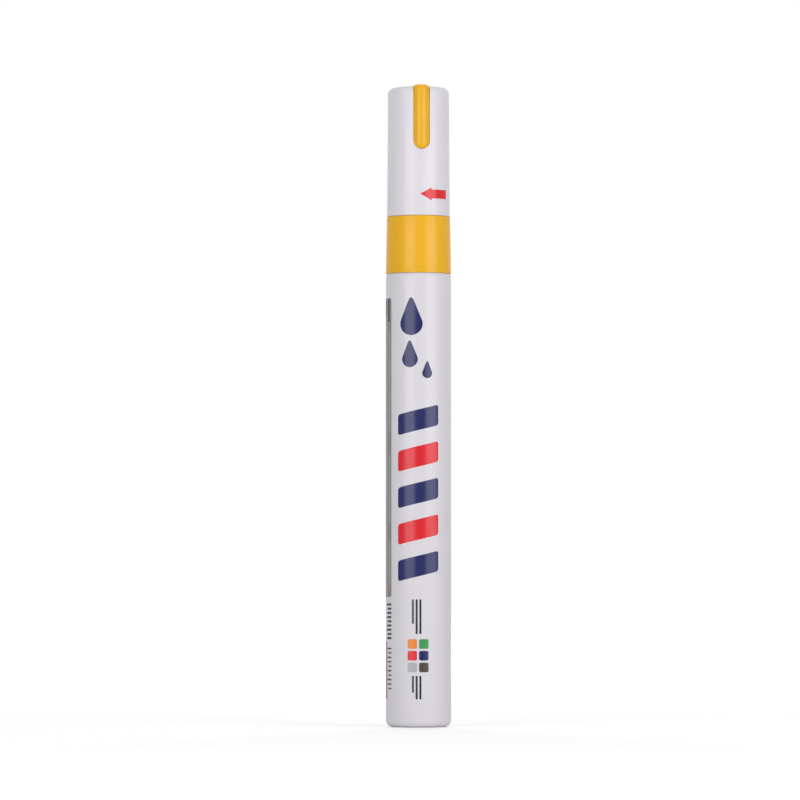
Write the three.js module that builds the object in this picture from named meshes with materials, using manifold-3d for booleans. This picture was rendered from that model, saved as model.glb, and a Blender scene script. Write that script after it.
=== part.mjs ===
// Touch-up paint pen with a pump valve, capped and standing on its foot.
// Millimetres, +Z up. The origin is the centre of the foot, and the pen's front faces -Y.
//
// An aluminium barrel holds the paint and a loose steel ball that stirs it. A moulded front section
// plugs the barrel's mouth: its collar shows below the cap as the colour ring, its neck carries the
// cap, and its nose guides the nib. Pressing the nib pushes a sprung stem off its seat, and paint runs
// to the nib. The cap is a white shell that holds two more mouldings: a liner that seals round the nose,
// and a coloured insert that lies in a slot over the shell's top and down its front and back.
import * as THREE from "three";
import { mergeVertices } from "three/addons/utils/BufferGeometryUtils.js";
import Module from "manifold-3d";

const wasm = await Module();
wasm.setup();

// Barrel
const barrelDiameter = 14;
const barrelLength = 97.1;
const barrelWall = 0.5;
const footThickness = 1.2;
const footRound = 1.6;
const footRingWidth = 1.4;
const footDishDepth = 0.4;
const mouthRollLength = 0.65;
const mouthRollDepth = 0.18;
const mouthRound = 2;
const ballDiameter = 5;

// Front section
const plugLength = 13;
const plugRibCount = 3;
const plugRibHeight = 0.3;
const plugRibLength = 1.4;
const plugWall = 1.2;
const collarHeight = 12.2;
const collarTaper = 0.2;
const neckLength = 7;
const snapBeadRise = 3.6;
const snapBeadHeight = 0.2;
const snapBeadLength = 1.2;
const landStep = 1.7;
const landLength = 3.5;
const landWall = 1.2;
const noseLength = 4.5;
const noseWall = 0.6;
const noseRibCount = 4;
const noseRibWidth = 0.8;
const inkChannelDepth = 0.4;
const noseBoreLead = 1.2;

// Nib
const nibDiameter = 3.4;
const nibReach = 5.4;
const nibPointLength = 2.8;
const nibTravel = 1.6;

// Valve
const seatLedge = 0.5;
const seatThickness = 2.4;
const seatPortDiameter = 4;
const seatConeDepth = 1;
const stemShankDiameter = 2.6;
const stemFlangeThickness = 1.2;
const stemFlowGap = 1.5;
const stemPinLength = 9;
const socketWall = 0.8;
const socketFloor = 1.4;
const socketDepth = 3.5;
const socketSlotWidth = 0.9;
const socketSlotFloor = 0.8;
const cageSkirtLength = 7;
const cageBasketLength = 8;
const cageWall = 0.7;
const cageFloor = 1.2;
const cageFlangeThickness = 1;
const cageWindowCount = 4;
const cageWindowWidth = 4;
const cagePortDiameter = 2.8;

// Spring
const springWire = 0.4;
const springMeanDiameter = 4;
const springTurns = 8;
const springEndGap = 0.45;
const springPinGap = 0.2;

// Cap
const capStep = 0.05;
const capWall = 0.75;
const capTopWall = 1;
const capTaper = 0.2;
const capTopRound = 1.3;
const capInnerRound = 0.4;
const nibRoom = 4.6;
const linerWall = 0.8;
const linerStandoff = 1.5;
const linerEndWall = 1.7;
const linerRibCount = 6;
const linerRibWidth = 0.9;
const insertWidth = 3.5;
const insertLegProud = 0.6;
const insertTopProud = 0.3;
const insertDrop = 13.5;
const insertTopRound = 0.7;
const capTurn = THREE.MathUtils.degToRad(6);

// Clearances and small edge rounds
const seamGap = 0.05;
const pressGap = 0.05;
const slideGap = 0.05;
const sealGap = 0.1;
const stemFlangeGap = 0.8;
const slotGap = 0.05;
const linerGap = 0.1;
const edgeRound = 0.2;

// Facets round an outer surface, round an inner one and round a ball end
const outerFacets = 40;
const innerFacets = 28;
const ballEndFacets = 20;

// The most that a rounded edge's chords stand off its arc, and the most of a side that a round takes
const arcChordError = 0.02;
const arcSideShare = 0.49;

// Steps of the smaller curves
const nibPointSteps = 6;
const springStepsPerTurn = 14;
const springSides = 6;

// Radii that follow from the sizes above
const barrelRadius = barrelDiameter / 2;
const boreRadius = barrelRadius - barrelWall;
const plugRibRadius = boreRadius - pressGap;
const plugRadius = plugRibRadius - plugRibHeight;
const valveBoreRadius = plugRadius - plugWall;
const chamberRadius = valveBoreRadius - seatLedge;
const collarTopRadius = barrelRadius - collarTaper;
const capMouthRadius = collarTopRadius - capStep;
const capTopRadius = capMouthRadius - capTaper;
const capBoreRadius = capMouthRadius - capWall;
const snapBeadRadius = capBoreRadius - slideGap;
const neckRadius = snapBeadRadius - snapBeadHeight;
const landRadius = neckRadius - landStep;
const nibRadius = nibDiameter / 2;
const nibGuideRadius = nibRadius + slideGap;
const noseBoreRadius = nibGuideRadius + inkChannelDepth;
const noseTipRadius = noseBoreRadius + noseWall;
const valveFitRadius = valveBoreRadius - pressGap;
const cageBoreRadius = valveFitRadius - cageWall;
const stemFlangeRadius = cageBoreRadius - stemFlangeGap;
const linerBoreRadius = landRadius + sealGap;
const linerRadius = linerBoreRadius + linerWall;
const linerPlateRadius = capTopRadius - capWall - linerGap;
const insertRadius = insertWidth / 2;
const insertLegAxis = capTopRadius + insertLegProud - insertRadius;
const slotRadius = insertRadius + slotGap;

// Heights in the front section, from the collar's lower face
const ledgeHeight = -plugLength + cageSkirtLength + seatThickness + 2 * seamGap;
const seatHeight = ledgeHeight - seamGap - seatThickness;
const neckTop = collarHeight + neckLength;
const landTop = neckTop + landLength;
const noseTop = landTop + noseLength;
const stemSocketHeight = seatThickness + nibTravel + stemFlowGap;
const nibTailHeight = seatHeight + stemSocketHeight + socketFloor + seamGap;

// Heights in the cap, from its mouth
const linerBoreEnd = neckLength + landLength + noseLength + nibReach + nibRoom;
const linerTop = linerBoreEnd + linerEndWall;
const capInnerTop = linerTop + seamGap;
const capHeight = capInnerTop + capTopWall;
const insertTop = capHeight + insertTopProud;
const insertEndHeight = capHeight - insertDrop + insertRadius;

const finishes = {
  whitePaint: new THREE.MeshStandardMaterial({ color: 0xd9d6dd, roughness: 0.3, metalness: 0 }),
  whitePlastic: new THREE.MeshStandardMaterial({ color: 0xdedbe1, roughness: 0.3, metalness: 0 }),
  yellowPlastic: new THREE.MeshStandardMaterial({ color: 0xf1b82d, roughness: 0.3, metalness: 0 }),
  naturalPlastic: new THREE.MeshStandardMaterial({ color: 0xe8e6de, roughness: 0.5, metalness: 0 }),
  felt: new THREE.MeshStandardMaterial({ color: 0xf0ece0, roughness: 0.95, metalness: 0 }),
  steel: new THREE.MeshStandardMaterial({ color: 0xb9bcc0, roughness: 0.25, metalness: 1 }),
};

// The solid inside a closed geometry
function solidOf(geometry) {
  const bare = geometry.clone();
  for (const name of Object.keys(bare.attributes)) {
    if (name !== "position") bare.deleteAttribute(name);
  }
  const merged = mergeVertices(bare, 1e-4);
  const corners = [];
  for (let i = 0; i < merged.index.count; i += 3) {
    const [a, b, c] = [0, 1, 2].map((k) => merged.index.getX(i + k));
    if (a !== b && b !== c && c !== a) corners.push(a, b, c);
  }
  return new wasm.Manifold(
    new wasm.Mesh({
      numProp: 3,
      vertProperties: new Float32Array(merged.attributes.position.array),
      triVerts: new Uint32Array(corners),
    }),
  );
}

// The geometry of a solid, with flat facets
function geometryOf(solid) {
  const { vertProperties, triVerts } = solid.getMesh();
  const indexed = new THREE.BufferGeometry();
  indexed.setAttribute("position", new THREE.BufferAttribute(vertProperties, 3));
  indexed.setIndex(new THREE.BufferAttribute(triVerts, 1));
  const geometry = indexed.toNonIndexed();
  geometry.computeVertexNormals();
  return geometry;
}

// A corner of a turned outline: its radius, its height and the round on it
function at(r, z, round = 0) {
  return { point: new THREE.Vector2(r, z), round };
}

// The arc that rounds the corner between two neighbours
function roundedCorner(before, corner, after) {
  const toBefore = before.point.clone().sub(corner.point);
  const toAfter = after.point.clone().sub(corner.point);
  const half = Math.abs(toBefore.angleTo(toAfter)) / 2;
  const room = Math.min(toBefore.length(), toAfter.length()) * arcSideShare;
  const reach = Math.min(corner.round / Math.tan(half), room);
  const radius = reach * Math.tan(half);
  const start = corner.point.clone().addScaledVector(toBefore.normalize(), reach);
  const end = corner.point.clone().addScaledVector(toAfter.normalize(), reach);
  const inward = toBefore.add(toAfter).normalize();
  const centre = corner.point.clone().addScaledVector(inward, radius / Math.sin(half));
  const from = start.clone().sub(centre).angle();
  let sweep = end.clone().sub(centre).angle() - from;
  if (sweep > Math.PI) sweep -= 2 * Math.PI;
  if (sweep < -Math.PI) sweep += 2 * Math.PI;
  const stepAngle = 2 * Math.acos(Math.max(0, 1 - arcChordError / radius));
  const steps = Math.ceil(Math.abs(sweep) / stepAngle);
  return Array.from({ length: steps + 1 }, (_, i) => {
    const angle = from + (sweep * i) / steps;
    return new THREE.Vector2(Math.cos(angle), Math.sin(angle)).multiplyScalar(radius).add(centre);
  });
}

// A turned solid. The outline runs anticlockwise with the axis on its left, and closes on itself.
function turned(corners, facets) {
  const points = corners.flatMap((corner, i) => {
    if (corner.round <= 0) return [corner.point];
    const before = corners[(i + corners.length - 1) % corners.length];
    const after = corners[(i + 1) % corners.length];
    return roundedCorner(before, corner, after);
  });
  points.push(points[0].clone());
  const geometry = new THREE.LatheGeometry(points, facets);
  return solidOf(geometry.rotateX(Math.PI / 2));
}

// A block with its lower face at a height
function block(width, depth, height, x, y, z) {
  const geometry = new THREE.BoxGeometry(width, depth, height);
  return solidOf(geometry.translate(x, y, z + height / 2));
}

// A round rod with ball ends, between two points that its ball ends are centred on
function roundEndedRod(from, to, radius) {
  const span = to.clone().sub(from);
  const middle = from.clone().addScaledVector(span, 0.5);
  const endSteps = ballEndFacets / 4;
  const geometry = new THREE.CapsuleGeometry(radius, span.length(), endSteps, ballEndFacets);
  const upright = new THREE.Vector3(0, 1, 0);
  geometry.applyQuaternion(new THREE.Quaternion().setFromUnitVectors(upright, span.normalize()));
  return solidOf(geometry.translate(middle.x, middle.y, middle.z));
}

// Copies of a solid, evenly spaced round the axis and joined
function aroundAxis(solid, count, startDegrees = 0) {
  const copies = Array.from({ length: count }, (_, i) =>
    solid.rotate([0, 0, startDegrees + (360 * i) / count]),
  );
  return wasm.Manifold.union(copies);
}

// A named piece with its own material
function mesh(name, solid, material, height = 0) {
  const piece = new THREE.Mesh(geometryOf(solid), material.clone());
  piece.name = name;
  piece.position.z = height;
  return piece;
}

// The barrel: a drawn tube with a rounded foot, a flat foot ring and a shallow dish inside the ring.
// Its mouth is rolled in a little under the collar.
function barrel() {
  const ringInner = barrelRadius - footRound - footRingWidth;
  return turned(
    [
      at(0, footDishDepth),
      at(ringInner - 2 * footDishDepth, footDishDepth),
      at(ringInner, 0),
      at(barrelRadius, 0, footRound),
      at(barrelRadius, barrelLength - mouthRollLength, mouthRound),
      at(barrelRadius - mouthRollDepth, barrelLength, edgeRound / 2),
      at(boreRadius, barrelLength),
      at(boreRadius, footThickness, footRound - barrelWall),
      at(0, footThickness),
    ],
    outerFacets,
  );
}

// The ribs that grip the barrel's bore, as outline corners from the lowest up
function plugRibs() {
  const pitch = plugLength / (plugRibCount + 1);
  return Array.from({ length: plugRibCount }, (_, i) => {
    const middle = -plugLength + pitch * (i + 1);
    return [
      at(plugRadius, middle - plugRibLength / 2),
      at(plugRibRadius, middle - plugRibLength / 2 + plugRibHeight),
      at(plugRibRadius, middle + plugRibLength / 2 - plugRibHeight),
      at(plugRadius, middle + plugRibLength / 2),
    ];
  }).flat();
}

// The front section: plug, collar, neck with its snap bead, seal land and nose in one moulding
function frontSection() {
  const landBoreRadius = landRadius - landWall;
  const beadMiddle = collarHeight + snapBeadRise;
  const shell = turned(
    [
      at(valveBoreRadius, -plugLength),
      at(plugRadius, -plugLength, edgeRound),
      ...plugRibs(),
      at(plugRadius, 0),
      at(barrelRadius, 0, edgeRound),
      at(collarTopRadius, collarHeight, edgeRound),
      at(neckRadius, collarHeight),
      at(neckRadius, beadMiddle - snapBeadLength / 2),
      at(snapBeadRadius, beadMiddle),
      at(neckRadius, beadMiddle + snapBeadLength / 2),
      at(neckRadius, neckTop, 2 * edgeRound),
      at(landRadius, neckTop),
      at(landRadius, landTop, edgeRound),
      at(noseTipRadius, noseTop, edgeRound),
      at(noseBoreRadius, noseTop),
      at(noseBoreRadius, landTop - noseBoreLead),
      at(landBoreRadius, landTop - noseBoreLead),
      at(landBoreRadius, neckTop - landWall),
      at(chamberRadius, neckTop - landWall, 2 * edgeRound),
      at(chamberRadius, ledgeHeight),
      at(valveBoreRadius, ledgeHeight),
    ],
    outerFacets,
  );
  // Ribs inside the nose carry the nib, and paint runs in the channels between them.
  const ribDepth = inkChannelDepth + noseWall / 2;
  const rib = block(
    ribDepth,
    noseRibWidth,
    noseLength + noseBoreLead - edgeRound,
    nibGuideRadius + ribDepth / 2,
    0,
    landTop - noseBoreLead,
  );
  return shell.add(aroundAxis(rib, noseRibCount, 180 / noseRibCount));
}

// The valve's seat: a ring with a cone underneath that the stem's cone closes
function valveSeat() {
  const portRadius = seatPortDiameter / 2;
  return turned(
    [
      at(portRadius + seatConeDepth, 0),
      at(valveFitRadius, 0),
      at(valveFitRadius, seatThickness, edgeRound),
      at(portRadius, seatThickness, edgeRound),
      at(portRadius, seatConeDepth),
    ],
    innerFacets,
  );
}

// The valve's cage: a skirt inside the plug, a flange under it, and a basket with windows below
function valveCage() {
  const flangeTop = -plugLength - seamGap;
  const flangeUnder = flangeTop - cageFlangeThickness;
  const floorHeight = flangeTop - cageBasketLength;
  const cup = turned(
    [
      at(cagePortDiameter / 2, floorHeight),
      at(valveFitRadius, floorHeight, 2 * edgeRound),
      at(valveFitRadius, flangeUnder),
      at(plugRadius, flangeUnder, edgeRound),
      at(plugRadius, flangeTop),
      at(valveFitRadius, flangeTop),
      at(valveFitRadius, seatHeight - seamGap, edgeRound),
      at(cageBoreRadius, seatHeight - seamGap),
      at(cageBoreRadius, floorHeight + cageFloor, edgeRound),
      at(cagePortDiameter / 2, floorHeight + cageFloor),
    ],
    innerFacets,
  );
  const windowFoot = floorHeight + cageFloor + cageWall;
  const window = block(
    2 * cageFlangeThickness + 2 * cageWall,
    cageWindowWidth,
    flangeUnder - cageWall - windowFoot,
    valveFitRadius,
    0,
    windowFoot,
  );
  return cup.subtract(aroundAxis(window, cageWindowCount));
}

// The stem: a pin that guides the spring, a flange and cone that close the seat, a shank through the
// port, and a slotted socket that holds the nib's tail
function valveStem() {
  const portRadius = seatPortDiameter / 2;
  const shankRadius = stemShankDiameter / 2;
  const flangeUnder = -seamGap - stemFlangeThickness;
  const pinRadius = springMeanDiameter / 2 - springWire / 2 - springPinGap;
  const socketBore = nibRadius + slideGap;
  const socketRadius = socketBore + socketWall;
  const socketTop = stemSocketHeight + socketFloor + socketDepth;
  const body = turned(
    [
      at(0, flangeUnder - stemPinLength),
      at(pinRadius, flangeUnder - stemPinLength, 2 * edgeRound),
      at(pinRadius, flangeUnder),
      at(stemFlangeRadius, flangeUnder, edgeRound),
      at(stemFlangeRadius, -seamGap),
      at(portRadius + seatConeDepth - sealGap, -seamGap),
      at(portRadius - sealGap, seatConeDepth - seamGap),
      at(shankRadius, seatConeDepth - seamGap),
      at(shankRadius, stemSocketHeight),
      at(socketRadius, stemSocketHeight, edgeRound),
      at(socketRadius, socketTop, edgeRound),
      at(socketBore, socketTop),
      at(socketBore, stemSocketHeight + socketFloor),
      at(0, stemSocketHeight + socketFloor),
    ],
    innerFacets,
  );
  const slotFoot = stemSocketHeight + socketFloor + socketSlotFloor;
  const slot = block(3 * socketRadius, socketSlotWidth, socketDepth, 0, 0, slotFoot);
  return body.subtract(slot).subtract(slot.rotate([0, 0, 90]));
}

// The height of the spring's wire above its lower end, at a number of turns from it
function springHeight(turnsUp, length) {
  const rise = length - springWire;
  const endPitch = springWire + springEndGap;
  const activePitch = (rise - 2 * endPitch) / (springTurns - 2);
  if (turnsUp <= 1) return endPitch * turnsUp;
  if (turnsUp >= springTurns - 1) return rise - endPitch * (springTurns - turnsUp);
  return endPitch + activePitch * (turnsUp - 1);
}

// The spring: one helix of round wire, close-wound at both ends
function valveSpring(length) {
  const steps = springTurns * springStepsPerTurn;
  const meanRadius = springMeanDiameter / 2;
  const wireRadius = springWire / 2;
  const centres = Array.from({ length: steps + 1 }, (_, i) => {
    const turns = i / springStepsPerTurn;
    const angle = turns * 2 * Math.PI;
    return new THREE.Vector3(
      meanRadius * Math.cos(angle),
      meanRadius * Math.sin(angle),
      wireRadius + springHeight(turns, length),
    );
  });
  reportSpringGap(centres);
  const points = centres.flatMap((centre) => {
    const outward = new THREE.Vector3(centre.x, centre.y, 0).normalize();
    return Array.from({ length: springSides }, (_, k) => {
      const angle = (2 * Math.PI * k) / springSides;
      return centre
        .clone()
        .addScaledVector(outward, wireRadius * Math.cos(angle))
        .add(new THREE.Vector3(0, 0, wireRadius * Math.sin(angle)));
    });
  });
  const faces = [];
  for (let i = 0; i < steps; i += 1) {
    for (let k = 0; k < springSides; k += 1) {
      const [a, b] = [i * springSides + k, i * springSides + ((k + 1) % springSides)];
      faces.push(a, a + springSides, b, b, a + springSides, b + springSides);
    }
  }
  const last = steps * springSides;
  for (let k = 1; k < springSides - 1; k += 1) {
    faces.push(0, k, k + 1, last, last + k + 1, last + k);
  }
  const geometry = new THREE.BufferGeometry().setFromPoints(points);
  geometry.setIndex(faces);
  return solidOf(geometry);
}

// The least clear distance between turns of the spring's wire
function reportSpringGap(centres) {
  let least = Infinity;
  centres.forEach((a, i) => {
    centres.slice(i + springStepsPerTurn / 2).forEach((b) => {
      least = Math.min(least, a.distanceTo(b) - springWire);
    });
  });
  console.log(`valve spring: least gap between turns ${least.toFixed(2)} mm`);
}

// The nib: a felt rod with a bullet point
function nib(length) {
  const shoulder = length - nibPointLength;
  const point = Array.from({ length: nibPointSteps }, (_, i) => {
    const angle = (Math.PI / 2) * (i / nibPointSteps);
    return at(nibRadius * Math.cos(angle), shoulder + nibPointLength * Math.sin(angle));
  });
  const tail = [at(0, 0), at(nibRadius, 0, 2 * edgeRound)];
  return turned([...tail, ...point, at(0, length)], innerFacets);
}

// The ball that stirs the paint when the pen is shaken
function mixingBall() {
  const sphere = new THREE.SphereGeometry(ballDiameter / 2, innerFacets, innerFacets / 2);
  return solidOf(sphere.rotateX(Math.PI / 2));
}

// The space inside the shell: a tapered bore with the groove that the neck's bead snaps into
function capCavity() {
  const grooveRadius = capBoreRadius + snapBeadHeight;
  const grooveHalf = snapBeadLength / 2 + snapBeadHeight;
  return turned(
    [
      at(0, -seamGap),
      at(capBoreRadius, -seamGap),
      at(capBoreRadius, snapBeadRise - grooveHalf),
      at(grooveRadius, snapBeadRise - grooveHalf + snapBeadHeight),
      at(grooveRadius, snapBeadRise + grooveHalf - snapBeadHeight),
      at(capBoreRadius, snapBeadRise + grooveHalf),
      at(capBoreRadius, neckLength + edgeRound),
      at(capTopRadius - capWall, capInnerTop, capInnerRound),
      at(0, capInnerTop),
    ],
    outerFacets,
  );
}

// The shell: a tapered cup with a round-ended slot down its front and back and over its top
function capShell() {
  const body = turned(
    [
      at(0, 0),
      at(capMouthRadius, 0, edgeRound),
      at(capTopRadius, capHeight, capTopRound),
      at(0, capHeight),
    ],
    outerFacets,
  );
  const through = 3 * capMouthRadius;
  const endRound = new THREE.CylinderGeometry(slotRadius, slotRadius, through, ballEndFacets);
  const slotEnd = solidOf(endRound.translate(0, 0, insertEndHeight));
  const slot = block(2 * slotRadius, through, insertDrop, 0, 0, insertEndHeight);
  return body.subtract(capCavity()).subtract(slotEnd).subtract(slot);
}

// The insert: two half-round legs that stand proud of the shell, joined by a flatter bar over its top
function colourInsert() {
  const legs = [-insertLegAxis, insertLegAxis].map((y) => {
    const lower = new THREE.Vector3(0, y, insertEndHeight);
    const upper = new THREE.Vector3(0, y, insertTop - insertRadius);
    return roundEndedRod(lower, upper, insertRadius);
  });
  const shoulder = insertTop - capInnerTop - insertTopRound;
  const roundCentre = insertRadius - insertTopRound;
  const section = new THREE.Shape();
  section.moveTo(-insertRadius, 0);
  section.lineTo(insertRadius, 0);
  section.absarc(roundCentre, shoulder, insertTopRound, 0, Math.PI / 2);
  section.absarc(-roundCentre, shoulder, insertTopRound, Math.PI / 2, Math.PI);
  const length = 2 * insertLegAxis;
  const options = { depth: length, bevelEnabled: false, curveSegments: ballEndFacets / 4 };
  const bar = new THREE.ExtrudeGeometry(section, options).rotateX(Math.PI / 2);
  bar.translate(0, insertLegAxis, capInnerTop);
  return wasm.Manifold.union([solidOf(bar), ...legs]).subtract(capCavity());
}

// The liner: a cup that seals on the land, an end plate under the shell's top, and the ribs that
// centre it in the shell
function capLiner() {
  const linerFoot = neckLength + linerStandoff;
  const body = turned(
    [
      at(linerBoreRadius, linerFoot),
      at(linerRadius, linerFoot, edgeRound),
      at(linerRadius, linerBoreEnd),
      at(linerPlateRadius, linerBoreEnd, edgeRound),
      at(linerPlateRadius, linerTop, capInnerRound + edgeRound),
      at(0, linerTop),
      at(0, linerBoreEnd),
      at(linerBoreRadius, linerBoreEnd, 2 * edgeRound),
    ],
    innerFacets,
  );
  const ribFoot = linerFoot + linerWall;
  const ribReach = linerPlateRadius - linerRadius + linerWall / 2;
  const rib = block(
    ribReach,
    linerRibWidth,
    linerBoreEnd - ribFoot + edgeRound,
    linerPlateRadius - linerGap - ribReach / 2,
    0,
    ribFoot,
  );
  return body.add(aroundAxis(rib, linerRibCount, 180 / linerRibCount));
}

// The barrel and the ball that lies on its floor
function barrelGroup() {
  const group = new THREE.Group();
  group.add(mesh("barrel", barrel(), finishes.whitePaint));
  const ballHeight = footThickness + seamGap + ballDiameter / 2;
  group.add(mesh("mixing_ball", mixingBall(), finishes.steel, ballHeight));
  return group;
}

// The front section with the valve and the nib inside it, from the collar's lower face
function sectionGroup() {
  const group = new THREE.Group();
  group.position.z = barrelLength + seamGap;
  group.add(mesh("front_section", frontSection(), finishes.yellowPlastic));
  group.add(mesh("valve_seat", valveSeat(), finishes.naturalPlastic, seatHeight));
  group.add(mesh("valve_cage", valveCage(), finishes.naturalPlastic));
  group.add(mesh("valve_stem", valveStem(), finishes.naturalPlastic, seatHeight));
  const springFoot = -plugLength - cageBasketLength + cageFloor;
  const springHead = seatHeight - 2 * seamGap - stemFlangeThickness;
  const spring = valveSpring(springHead - springFoot);
  group.add(mesh("valve_spring", spring, finishes.steel, springFoot));
  const nibTip = noseTop + nibReach;
  group.add(mesh("nib", nib(nibTip - nibTailHeight), finishes.felt, nibTailHeight));
  return group;
}

// The cap, seated on the collar and turned so that its insert stands a little right of the front
function capGroup() {
  const group = new THREE.Group();
  group.position.z = barrelLength + seamGap + collarHeight + seamGap;
  group.rotation.z = capTurn;
  group.add(mesh("cap_shell", capShell(), finishes.whitePlastic));
  group.add(mesh("colour_insert", colourInsert(), finishes.yellowPlastic));
  group.add(mesh("cap_liner", capLiner(), finishes.naturalPlastic));
  return group;
}

const pen = new THREE.Group();
pen.add(barrelGroup(), sectionGroup(), capGroup());

export default pen;
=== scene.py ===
"""A touch-up paint pen, capped and standing on its foot in plain studio light.

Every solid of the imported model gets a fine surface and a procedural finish, and the barrel and the
cap get their printed marks. Lengths in the classes are millimetres, and meshes are made in metres.
"""

import logging
import math
from collections.abc import Callable, Iterable, Sequence
from dataclasses import dataclass, field
from enum import Enum

import bmesh
import bpy
from mathutils import Matrix, Vector


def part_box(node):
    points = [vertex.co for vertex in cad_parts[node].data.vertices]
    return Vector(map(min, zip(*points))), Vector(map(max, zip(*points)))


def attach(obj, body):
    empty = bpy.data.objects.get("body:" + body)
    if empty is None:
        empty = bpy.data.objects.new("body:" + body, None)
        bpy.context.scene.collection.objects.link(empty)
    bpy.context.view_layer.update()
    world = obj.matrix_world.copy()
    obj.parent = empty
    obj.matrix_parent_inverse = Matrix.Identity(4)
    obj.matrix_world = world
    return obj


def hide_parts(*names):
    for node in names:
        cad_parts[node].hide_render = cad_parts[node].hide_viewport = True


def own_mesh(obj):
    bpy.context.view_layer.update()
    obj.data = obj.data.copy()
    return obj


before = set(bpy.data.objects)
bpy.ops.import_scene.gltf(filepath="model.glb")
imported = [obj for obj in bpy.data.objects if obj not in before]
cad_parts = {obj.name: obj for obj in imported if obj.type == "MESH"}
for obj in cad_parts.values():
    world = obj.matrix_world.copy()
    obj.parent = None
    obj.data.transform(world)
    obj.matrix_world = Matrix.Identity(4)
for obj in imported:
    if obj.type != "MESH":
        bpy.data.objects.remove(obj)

log = logging.getLogger("paint_pen")

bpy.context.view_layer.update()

MM = 0.001
TAU = 2 * math.pi

# Facets round a surface that shows, and round one inside
FINE = 160
PLAIN = 96

# Facets of a rounded corner, and the largest share of a side that its round takes
ROUND_STEPS = 5
ROUND_SHARE = 0.49

# The angle between faces past which an edge is a crease
CREASE = math.radians(32)

# The distances within which vertices are one, and within which a cut takes a vertex, in metres
JOINED = 1e-7
ON_CUT = 1e-8

# The rounds on a crisp, a plain and a soft edge and on a lead-in, in millimetres
CRISP = 0.08
EDGE = 0.1
SOFT = 0.2
LEAD = 0.4

WHITE = (1, 1, 1, 1)

# Stands a flat circle up to face along Y
UPRIGHT = Matrix.Rotation(TAU / 4, 4, "X")

Span = tuple[float, float]
Triple = tuple[float, float, float]
Colour = Triple


# Outlines and meshes


@dataclass(frozen=True)
class Corner:
    """A corner of a turned outline, with its radius, its height and the round on it."""

    r: float
    z: float
    fillet: float = 0.0


def at(r: float, z: float, fillet: float = 0.0) -> Corner:
    """Returns a corner of a turned outline, in millimetres."""
    return Corner(r, z, fillet)


def round_corners(bm: bmesh.types.BMesh, verts: Sequence[bmesh.types.BMVert], reach: float,
                  steps: int = ROUND_STEPS) -> None:
    """Rounds corners of an outline or of a flat face.

    Args:
        bm: The mesh that holds them.
        verts: The corners.
        reach: How far each round reaches along its sides, in metres.
        steps: Facets of each round.
    """
    bmesh.ops.bevel(bm, geom=verts, offset=reach, offset_type="OFFSET", segments=steps, profile=0.5,
                    affect="VERTICES", material=-1)


def fillet_outline(bm: bmesh.types.BMesh, verts: Sequence[bmesh.types.BMVert],
                   fillets: Sequence[float]) -> None:
    """Rounds the corners of an outline of edges.

    Args:
        bm: The mesh that holds the outline.
        verts: The outline's corners.
        fillets: The radius of the round at each corner, in metres, or 0.
    """
    reaches = []
    for vert, fillet in zip(verts, fillets):
        if fillet <= 0 or len(vert.link_edges) != 2:
            reaches.append(0.0)
            continue
        arms = [edge.other_vert(vert).co - vert.co for edge in vert.link_edges]
        half = arms[0].angle(arms[1]) / 2
        longest = ROUND_SHARE * min(arm.length for arm in arms)
        reaches.append(min(fillet / math.tan(half), longest))
    for vert, reach in zip(verts, reaches):
        if reach > 0:
            round_corners(bm, [vert], reach)


def extrude(bm: bmesh.types.BMesh, along: Triple) -> None:
    """Extrudes all faces of a mesh.

    Args:
        bm: The mesh.
        along: The way that the faces go, in metres.
    """
    raised = bmesh.ops.extrude_face_region(bm, geom=bm.faces[:])
    verts = [item for item in raised["geom"] if isinstance(item, bmesh.types.BMVert)]
    bmesh.ops.translate(bm, vec=along, verts=verts)


def finish_mesh(bm: bmesh.types.BMesh, name: str) -> bpy.types.Object:
    """Turns a bmesh into a piece with smooth faces and sharp creases.

    Args:
        bm: The mesh, which is freed.
        name: The piece's name.

    Returns:
        The new object, linked to the scene.
    """
    bmesh.ops.remove_doubles(bm, verts=bm.verts, dist=JOINED)
    bmesh.ops.dissolve_degenerate(bm, dist=JOINED, edges=bm.edges)
    bmesh.ops.recalc_face_normals(bm, faces=bm.faces)
    mesh = bpy.data.meshes.new(name)
    bm.to_mesh(mesh)
    bm.free()
    piece = bpy.data.objects.new(name, mesh)
    bpy.context.scene.collection.objects.link(piece)
    set_creases(mesh)
    return piece


def set_creases(mesh: bpy.types.Mesh) -> None:
    """Smooths a mesh and marks the edges that stay sharp.

    Args:
        mesh: The mesh.
    """
    bm = bmesh.new()
    bm.from_mesh(mesh)
    for face in bm.faces:
        face.smooth = True
    for edge in bm.edges:
        edge.smooth = len(edge.link_faces) != 2 or edge.calc_face_angle(0.0) < CREASE
    bm.to_mesh(mesh)
    bm.free()


def turned(name: str, corners: Sequence[Corner], facets: int = FINE) -> bpy.types.Object:
    """Turns an outline about the Z axis.

    Args:
        name: The piece's name.
        corners: The outline, which closes on itself; corners on the axis become poles.
        facets: Facets round the axis.

    Returns:
        The turned piece.
    """
    bm = bmesh.new()
    verts = [bm.verts.new((corner.r * MM, 0, corner.z * MM)) for corner in corners]
    for first, second in zip(verts, verts[1:] + verts[:1]):
        if first.co.x > 0 or second.co.x > 0:
            bm.edges.new((first, second))
    fillet_outline(bm, verts, [corner.fillet * MM for corner in corners])
    bmesh.ops.spin(bm, geom=bm.verts[:] + bm.edges[:], cent=(0, 0, 0), axis=(0, 0, 1), dvec=(0, 0, 0),
                   angle=TAU, steps=facets, use_merge=True, use_duplicate=False)
    return finish_mesh(bm, name)


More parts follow.
